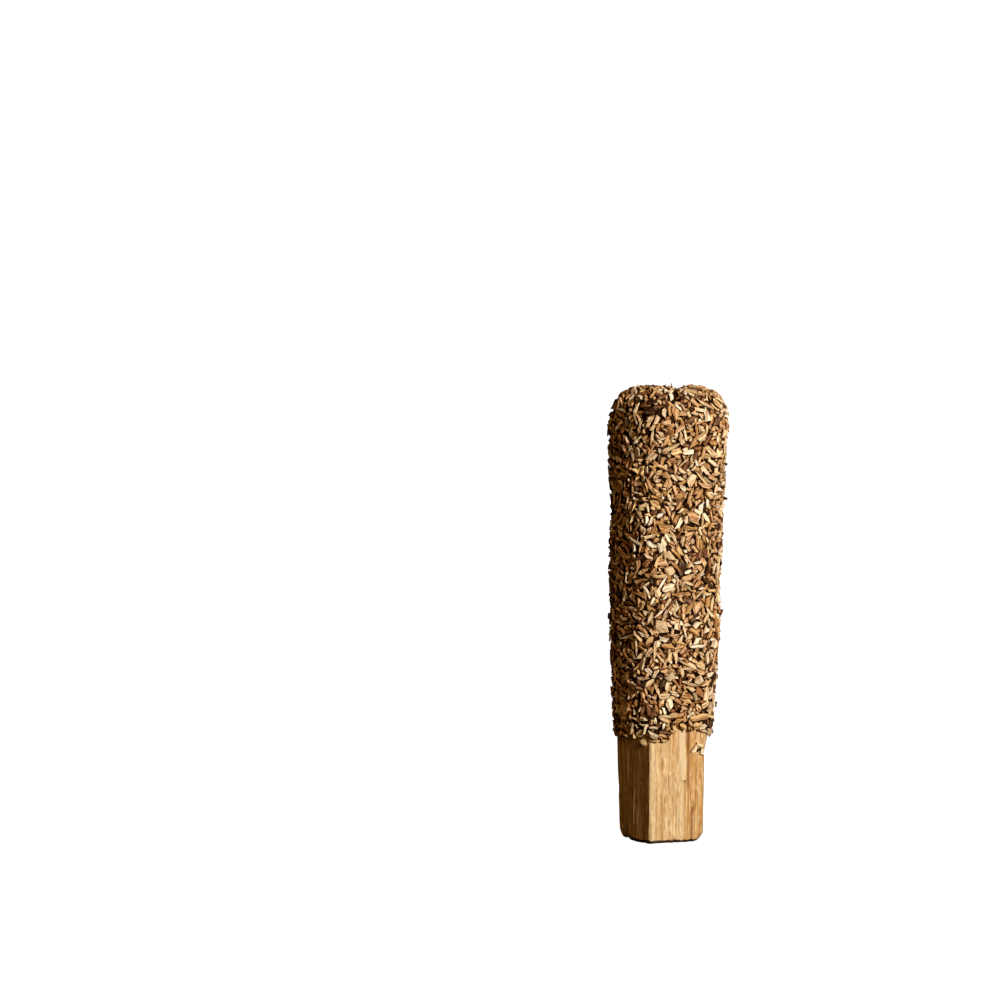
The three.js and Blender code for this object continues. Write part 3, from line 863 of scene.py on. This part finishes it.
class Crust:
    """The crust as it is laid: how high the chips stand over each small cell of its surface so far."""

    COLUMNS = 480
    ROWS = 580
    BED = -0.95  # where the first chips lie, from the finished surface
    ABOVE_STICK = 0.15
    EDGE_WANDER = 0.3
    SKIRT = 0.5  # no free chip's middle is closer to the lower edge
    FREE = (205, 25)  # the turn round which the chips lie loose and stick out, and its spread
    FREEST = 1.15
    # The second number of the next four is added where the chips lie loose
    LIMIT = (0.68, 0.25)  # how far above the finished surface the top of a chip may be
    OVERHANG = (0.27, 0.6)  # and how far above that one end of it may be
    STEEPEST = (0.6, 0.4)
    UNREST = (0.17, 0.3)
    LEANING = 0.35  # the share of the loose chips that lean round to the front
    LEAN = 0.6  # how steeply

    def __init__(self, reach, stick):
        ups = np.linspace(UP_LOW + CELLS_FROM, UP_HIGH, self.ROWS)
        turns = np.arange(self.COLUMNS) * FULL_TURN / self.COLUMNS
        self.up, self.turn = np.meshgrid(ups, turns, indexing="ij")
        start, way = crust_rays(self.turn, self.up)
        out = looked_up(reach, self.turn, self.up)
        self.points = start + way * out[..., None]
        across = (np.roll(self.points, -1, axis=1) - np.roll(self.points, 1, axis=1)) / 2
        upward = np.gradient(self.points, axis=0)
        normal = np.cross(across, upward)
        self.area = np.linalg.norm(normal, axis=2)
        clear = self.area > 1e-5
        self.normals = np.where(clear[..., None], normal / np.maximum(self.area, 1e-5)[..., None], way)
        self.row_step = np.linalg.norm(upward, axis=2).min()
        self.column_step = np.linalg.norm(across, axis=2).min(axis=1)
        wander = self.EDGE_WANDER * noise_on_line(5 * self.turn.ravel(), 9)
        self.edge = lower_edge(self.turn) + wander.reshape(self.up.shape)
        covered = self.up > self.edge
        depth = looked_up(stick, self.turn, self.up) - out
        self.height = np.where(covered, np.maximum(self.BED, depth + self.ABOVE_STICK), depth)
        self.guard = np.zeros_like(self.height)
        self.freedom = self.FREEST * near(np.degrees(self.turn), *self.FREE)
        self.weights = np.cumsum((self.area * (self.up > self.edge + self.SKIRT)).ravel())

    def spot(self, tries):
        """The lowest of some places picked at random."""
        cells = np.searchsorted(self.weights, rng.random(tries) * self.weights[-1])
        rows, columns = np.unravel_index(cells, self.up.shape)
        around = (-4, 0, 4)
        level = sum(
            self.height[np.clip(rows + i, 0, self.ROWS - 1), (columns + j) % self.COLUMNS]
            for i in around for j in around
        )
        best = int(level.argmin())
        return rows[best], columns[best]

    def fitted(self, row, column, size, heading, sink=0.62, drop=0.8):
        """How a chip would lie on what is there: how high it would stand, and what laying it takes."""
        reach = np.hypot(size[0], size[1]) / 2
        span = int(reach / self.row_step) + 1
        rows = np.arange(max(row - span, 0), min(row + span + 1, self.ROWS))
        wide = int(reach / max(self.column_step[rows[-1]], 1e-3)) + 1
        if 2 * wide + 1 >= self.COLUMNS:
            columns = np.arange(self.COLUMNS)
        else:
            columns = np.arange(column - wide, column + wide + 1) % self.COLUMNS
        window = np.ix_(rows, columns)
        middle, up = self.points[row, column], self.normals[row, column]
        level = unit(np.cross((0, 0, 1) if up[2] < 0.9 else (0, 1, 0), up))
        along = math.cos(heading) * level + math.sin(heading) * np.cross(up, level)
        across = np.cross(up, along)
        normals = self.normals[window]
        bend = self.points[window] - middle
        facing_up = np.maximum(normals @ up, 0.3)
        tops = bend + normals * self.height[window][..., None]
        x, y, z = tops @ along, tops @ across, tops @ up
        kept = z + self.guard[window] * facing_up
        under = (np.abs(x) < size[0] / 2) & (np.abs(y) < size[1] / 2) & (normals @ up > 0.2)
        if under.sum() < 6 or (self.up[window] - self.edge[window])[under].min() < -drop:
            return None
        fit = np.stack([x[under], y[under], np.ones(under.sum())], axis=1)
        freedom = self.freedom[row, column]
        unrest, steepest = (least + more * freedom for least, more in (self.UNREST, self.STEEPEST))
        slope = np.linalg.lstsq(fit, kept[under], rcond=None)[0][:2] + rng.normal(0, unrest, 2)
        lean = self.LEAN * freedom * (rng.random() < self.LEANING)
        slope += lean * np.array((-math.cos(heading), math.sin(heading)))
        slope = np.clip(slope, -steepest, steepest)
        rest = np.quantile(kept[under] - fit[:, :2] @ slope, sink)
        top = rest + size[2] + slope[0] * x + slope[1] * y
        stands = (top - bend @ up)[under]
        gain = np.where(under, np.maximum((top - z) / facing_up, 0), 0)
        facing = unit(up - slope[0] * along - slope[1] * across)
        ahead = along + slope[0] * up
        ahead = unit(ahead - facing * (ahead @ facing))
        axes = np.array([ahead, np.cross(facing, ahead), facing])
        centre = middle + up * rest + facing * size[2] / 2
        return stands.mean(), stands.max(), window, gain, centre, axes

    def lay(self, row, column, size, headings, limit=None, guard=0.0, **ways):
        """Lays a chip by the heading that sinks it deepest, unless it would stand too high even so."""
        freedom = self.freedom[row, column]
        limit = self.LIMIT[0] + self.LIMIT[1] * freedom if limit is None else limit
        highest = limit + self.OVERHANG[0] + self.OVERHANG[1] * freedom
        fits = [self.fitted(row, column, size, heading, **ways) for heading in headings]
        fits = [fit for fit in fits if fit and fit[0] < limit and fit[1] < highest]
        if not fits:
            return None
        _, _, window, gain, centre, axes = min(fits, key=lambda fit: fit[0])
        self.height[window] += gain
        self.guard[window] = np.maximum(self.guard[window], guard * (gain > 0))
        return centre, axes

    def cells(self, turn, up):
        """The row and column of the cell at each place."""
        row = (up - UP_LOW - CELLS_FROM) / (UP_HIGH - UP_LOW - CELLS_FROM) * (self.ROWS - 1)
        column = turn / FULL_TURN * self.COLUMNS
        return np.clip(row, 0, self.ROWS - 1).round().astype(int), column.round().astype(int) % self.COLUMNS


LAYING = [  # kinds of chip, the most to lay, the most that may fail, and places tried for each
    (CHOPPED, 1500, 3000, 5),
    (CHOPPED, 3000, 4500, 12),
    (SMALL, 900, 1500, 40),
]
SHADES = (0.35, 0.72)  # painted shade of a chip that lies deep, and what is added up to the surface
SHADED = (-0.8, 0.1)  # from which depth to which
BANDS = {"chips_low": 45, "chips_middle": 66, "chips_high": 88, "chips_end": 200}  # up to which height
MARKED_LAYING = {"limit": 1.5, "guard": 0.8, "drop": 2}  # they may stand higher and hang lower
MARKED = [  # chips that stand out: turn, height, heading, length, width, thickness and colour
    (228, 103.1, -5, 4.4, 1.9, 0.9, "dark"), (238, 103.3, -10, 1.6, 1.1, 0.8, "rust"),
    (217, 104.8, 25, 3.5, 1.4, 0.8, "clay"), (250, 94.8, 22, 5, 1, 0.9, "cream"),
    (260, 97.3, 75, 2.8, 0.9, 0.7, "cream"), (235, 91.7, 25, 3.5, 1.7, 0.7, "straw"),
    (298, 93.5, -40, 4.6, 1.7, 0.7, "cream"), (303, 100.7, 70, 2.6, 1.7, 0.8, "brown"),
    (174, 97.8, -75, 4.3, 0.8, 0.7, "dust"), (245, 88.2, 20, 2.4, 1.9, 0.8, "clay"),
    (218, 85.8, -35, 2.4, 0.9, 0.8, "cream"), (218, 84.5, -35, 2.4, 0.9, 0.8, "cream"),
    (236, 81.2, -35, 3.7, 1.8, 0.8, "straw"), (251, 65.5, -60, 2.7, 2.4, 0.7, "cream"),
    (265, 65.8, 80, 3.5, 1.7, 0.7, "dark"), (249, 61.2, 12, 3.2, 1.9, 0.9, "pale"),
    (251, 56, -50, 3.2, 2.4, 1.2, "brown"), (242, 51.9, -45, 4.2, 2.9, 0.7, "cream"),
    (238, 48.1, 60, 2.3, 1.9, 0.7, "pale"), (299, 62.3, -42, 4.3, 0.9, 0.8, "dark"),
    (311, 47.4, 50, 3, 2.1, 0.6, "pale"), (291, 38.9, 30, 2.2, 2, 0.7, "pale"),
    (245, 38.6, 30, 2.2, 1.8, 0.8, "dark"), (254, 33.3, -70, 3, 1.9, 0.7, "pale"),
    (264, 33, -70, 2.4, 1.2, 0.6, "brown"), (295, 30.1, 10, 4.8, 1.8, 0.9, "straw"),
    (293, 28.2, 12, 2.4, 1.6, 1.1, "straw"), (279, 27.9, -40, 2.4, 1.3, 0.9, "straw"),
    (256, 26.6, 30, 2.2, 2, 1.4, "dark"), (234, 26.1, -20, 2.9, 1.6, 0.8, "pale"),
    (236, 24.7, 0, 2.6, 0.8, 0.7, "straw"), (248, 24.8, 10, 2, 0.8, 0.7, "straw"),
    (225, 27.4, 75, 2.6, 0.7, 0.8, "pale"), (325, 90.5, 20, 1.3, 0.6, 1.1, "dark"),
    (328, 82, -30, 1.5, 0.6, 1, "brown"), (326, 76.8, 60, 1.7, 0.7, 1.1, "dark"),
    (325, 62.6, 30, 1.6, 0.6, 1.2, "dark"), (324, 55, 80, 1.5, 0.6, 1, "brown"),
    (324, 50.6, 10, 1.3, 0.6, 1, "brown"), (329, 42.2, 40, 1.6, 0.6, 1, "dark"),
    (330, 32.5, 70, 1.4, 0.6, 0.9, "dark"), (329, 28.4, -50, 1.4, 0.6, 1, "brown"),
    (334, 26, 20, 1.4, 0.7, 1, "dark"), (181, 113.5, 40, 1.5, 0.8, 1.1, "dark"),
    (176, 116, -30, 1.5, 0.8, 1.1, "dark"), (262, 113.5, 60, 1.4, 0.7, 1.1, "brown"),
    (298, 113.3, -60, 1.8, 0.8, 1, "dark"), (307, 112, 20, 2.4, 1.2, 0.8, "brown"),
    (167, 94, 60, 1.5, 0.7, 1.1, "dark"), (166, 80, 75, 1.6, 0.6, 1.2, "dark"),
    (167, 64.2, 20, 1.5, 0.6, 1.1, "dark"), (166, 53.6, 65, 2, 0.6, 1.2, "dark"),
    (168, 37.2, 40, 1.5, 0.7, 1.1, "dark"), (170, 29, -30, 1.6, 0.7, 1, "dark"),
]


def lay_freely(crust, keep, kinds, most, failures, tries):
    laid = missed = 0
    while laid < most and missed < failures:
        size = picked_size(kinds)
        row, column = crust.spot(tries)
        placed = crust.lay(row, column, size, rng.uniform(0, FULL_TURN, 3))
        if placed is None:
            missed += 1
            continue
        laid += 1
        # Painted shade: the deeper a chip lies among the others, the darker its colour.
        open_share = float(fade(crust.height[row, column], *SHADED))
        keep(placed, size, picked_colour(SHADES[0] + SHADES[1] * open_share))


def lay_marked(crust, keep):
    for turn, up, heading, *size, name in MARKED:
        size = np.array(size)
        row, column = crust.cells(np.radians(turn), up)
        placed = crust.lay(row, column, size, [math.radians(heading)], **MARKED_LAYING)
        if placed:
            keep(placed, size, tinted(PALETTE[name][0], 1.0))


def add_crust(chips_material, dust_material):
    reach, stick = measured_crust()
    crust = Crust(reach, stick)
    shapes = [chip_shape() for _ in range(CHIP_SHAPES)]
    heaps = {name: ChipHeap(shapes) for name in BANDS}

    def keep(placed, size, colour):
        heap = next(heaps[name] for name, top in BANDS.items() if placed[0][2] < top)
        heap.add(*placed, size, colour)

    lay_freely(crust, keep, *LAYING[0])
    lay_marked(crust, keep)
    for kinds_and_limits in LAYING[1:]:
        lay_freely(crust, keep, *kinds_and_limits)
    for name, heap in heaps.items():
        dressed(heap.build(name, chips_material), "wood_chips", "chip_crust")
    add_binder(reach, stick, crust, dust_material)
    return shapes


BINDER_COLUMNS = 190
BINDER_ROWS = 230
BINDER_DEPTH = 0.55
BINDER_COVER = 0.5  # of chip over it, where it holds one up
BINDER_CLEARANCE = 0.12  # outside the stick
BINDER_LIP = (0.4, 0.5)  # how far above the crust's lower edge, and how far inside the stick it ends
BINDER_TOP = 0.998  # the share of the way up that its last ring is at
CRUMBS = [(0.25, 0.9, 10), (0.14, 0.45, 11)]  # height, width, seed


def add_binder(reach, stick, crust, material):
    """A closed skin of resin and dust under the chips. Its lower lip runs in to the stick."""
    around = np.array([
        np.roll(crust.height, (i, j), axis=(0, 1)) for i, j in itertools.product((-1, 0, 1), repeat=2)
    ])
    under = around.min(axis=0) - BINDER_COVER
    turns = np.arange(BINDER_COLUMNS) * FULL_TURN / BINDER_COLUMNS
    low = lower_edge(turns) + BINDER_LIP[0]
    share = np.linspace(0, BINDER_TOP, BINDER_ROWS)[:, None]
    up = low + share * (UP_HIGH - low)
    turn = turns + 0 * up
    start, way = crust_rays(turn, up)
    surface = looked_up(reach, turn, up)
    out = surface - BINDER_DEPTH
    place = (start + way * out[..., None]).reshape(-1, 3)
    crumbs = sum(height * value_noise(place / width, seed) for height, width, seed in CRUMBS)
    within = looked_up(stick, turn, up)
    held = surface + under[crust.cells(turn, up)]
    out = np.maximum(np.maximum(out + crumbs.reshape(out.shape), held), within + BINDER_CLEARANCE)
    rings = start + way * out[..., None]
    lip = start[0] + way[0] * (within[0] - BINDER_LIP[1])[:, None]
    points, faces, places = loft(np.concatenate([lip[None], rings]))
    piece = mesh_object("crust_binder", points, faces, material)
    set_map(piece, "OFBake", into(places, MAP_MARGIN, 1 - MAP_MARGIN))
    return dressed(piece, "wood_chips", "chip_crust")


# Chips that stuck to the bare handle

def side_frame(first, second, share, height):
    """A place on a side of the handle, with the directions along it, up and outward."""
    a, b = (np.array(SECTION[name]) * width_at(height) for name in (first, second))
    along = unit(np.array([*(b - a), 0.0]))
    upward = np.array([0.0, 0.0, 1.0])
    middle = np.array([*(a + share * (b - a)), height])
    middle[0] += bend_at(height)
    return middle, along, upward, np.cross(along, upward)


STRAY_SINK = 0.1
STRAYS = {  # on which side and where, then each chip's place along and up from there, turn, size and colour
    "stray_chip_left": (("back_left", "front_left", 0.9, 24.4), [
        (0.0, -0.25, 85, (2.3, 1.3, 1.9), "bea068"),
    ]),
    "stray_chip_right": (("front_ridge", "front_right", 0.63, 22.4), [
        (-0.9, -0.1, 50, (2.7, 1.1, 1.0), "ecd4a6"),
        (0.4, 0.75, -15, (1.9, 1.0, 1.0), "e8cc98"),
        (1.2, -1.0, 80, (1.7, 1.3, 1.1), "e6d2ac"),
        (0.35, -0.35, 20, (1.2, 0.8, 0.9), "3a2412"),
    ]),
}


def add_strays(shapes, material):
    for node, (side, chips) in STRAYS.items():
        middle, along, upward, outward = side_frame(*side)
        heap = ChipHeap(shapes)
        for across, up, degrees, size, code in chips:
            turn = math.radians(degrees)
            ahead = math.cos(turn) * along + math.sin(turn) * upward
            aside = np.cross(outward, ahead)
            centre = middle + across * along + up * upward + outward * (size[2] / 2 - STRAY_SINK)
            heap.add(centre, np.array([ahead, aside, outward]), np.array(size), tinted(code, 1.0))
        dressed(heap.build(node + "_detail", material), "wood_chips", node)


# The floor, whose inner rings follow the foot

CONTACT_REACH = 1.25  # how far from the foot the painted shadow under its front edges goes
CONTACT_SOFTNESS = 0.5
CONTACT_EVENING = 9  # of its reach along the foot, in columns
CONTACT_ENDS = (0.8, 1.5)  # over which width it starts at the left and ends at the right
CONTACT_FACING = 0.2  # how far a side has to face the camera to show all of it
CONTACT_WIDENING = (0.55, 1.5)  # the least facing that it is widened for, and the power


def add_floor():
    """A large disk that carries, as an attribute, a painted shadow: the dark line under the foot's front
    edges.
    """
    outward = section_outline()[1]
    foot = stick_rings()[0][FOOT_RING, :, :2]
    front = np.array(round_the_stick(CAMERA_AZIMUTH, 0, 1 / MM))[:2]
    facing = outward @ front
    across = foot @ (front[1], -front[0])
    left, right = across.min(), across.max()
    inner = fade(across, left, left + CONTACT_ENDS[0]) * fade(-across, -right, CONTACT_ENDS[1] - right)
    least, power = CONTACT_WIDENING
    reach = CONTACT_REACH * fade(facing, 0, CONTACT_FACING) * inner / np.maximum(facing, least) ** power
    reach = blurred(reach[None], 1, CONTACT_EVENING)[0]
    dark = foot + reach[:, None] * front
    clear = dark + outward * CONTACT_SOFTNESS
    far = foot * FLOOR_SIDE / 2 / np.linalg.norm(foot, axis=1)[:, None]
    rings = np.array([foot, dark, clear, far])
    count = len(foot)
    k = np.arange(count)
    after = (k + 1) % count
    faces = [np.stack([0 * k + len(rings) * count, k, after], 1)]
    for ring in range(len(rings) - 1):
        a, b = ring * count + k, ring * count + after
        faces += [np.stack([a, a + count, b + count], 1), np.stack([a, b + count, b], 1)]
    points = np.zeros((len(rings) * count + 1, 3))
    points[:-1, :2] = rings.reshape(-1, 2)
    floor = mesh_object("floor", points, np.concatenate(faces), floor_material())
    set_values(floor, "contact", np.repeat([1.0, 1.0, 0.0, 0.0, 1.0], [count] * len(rings) + [1]))
    floor.visible_diffuse = False
    floor.visible_glossy = False


bpy.context.scene.view_settings.view_transform = "Standard"
add_camera()
add_sky()
for light in LIGHTS:
    add_light(*light)
add_floor()
add_stick(split_wood_material())
chips_of_wood = chip_material()
chip_shapes = add_crust(chips_of_wood, binder_material())
add_strays(chip_shapes, chips_of_wood)
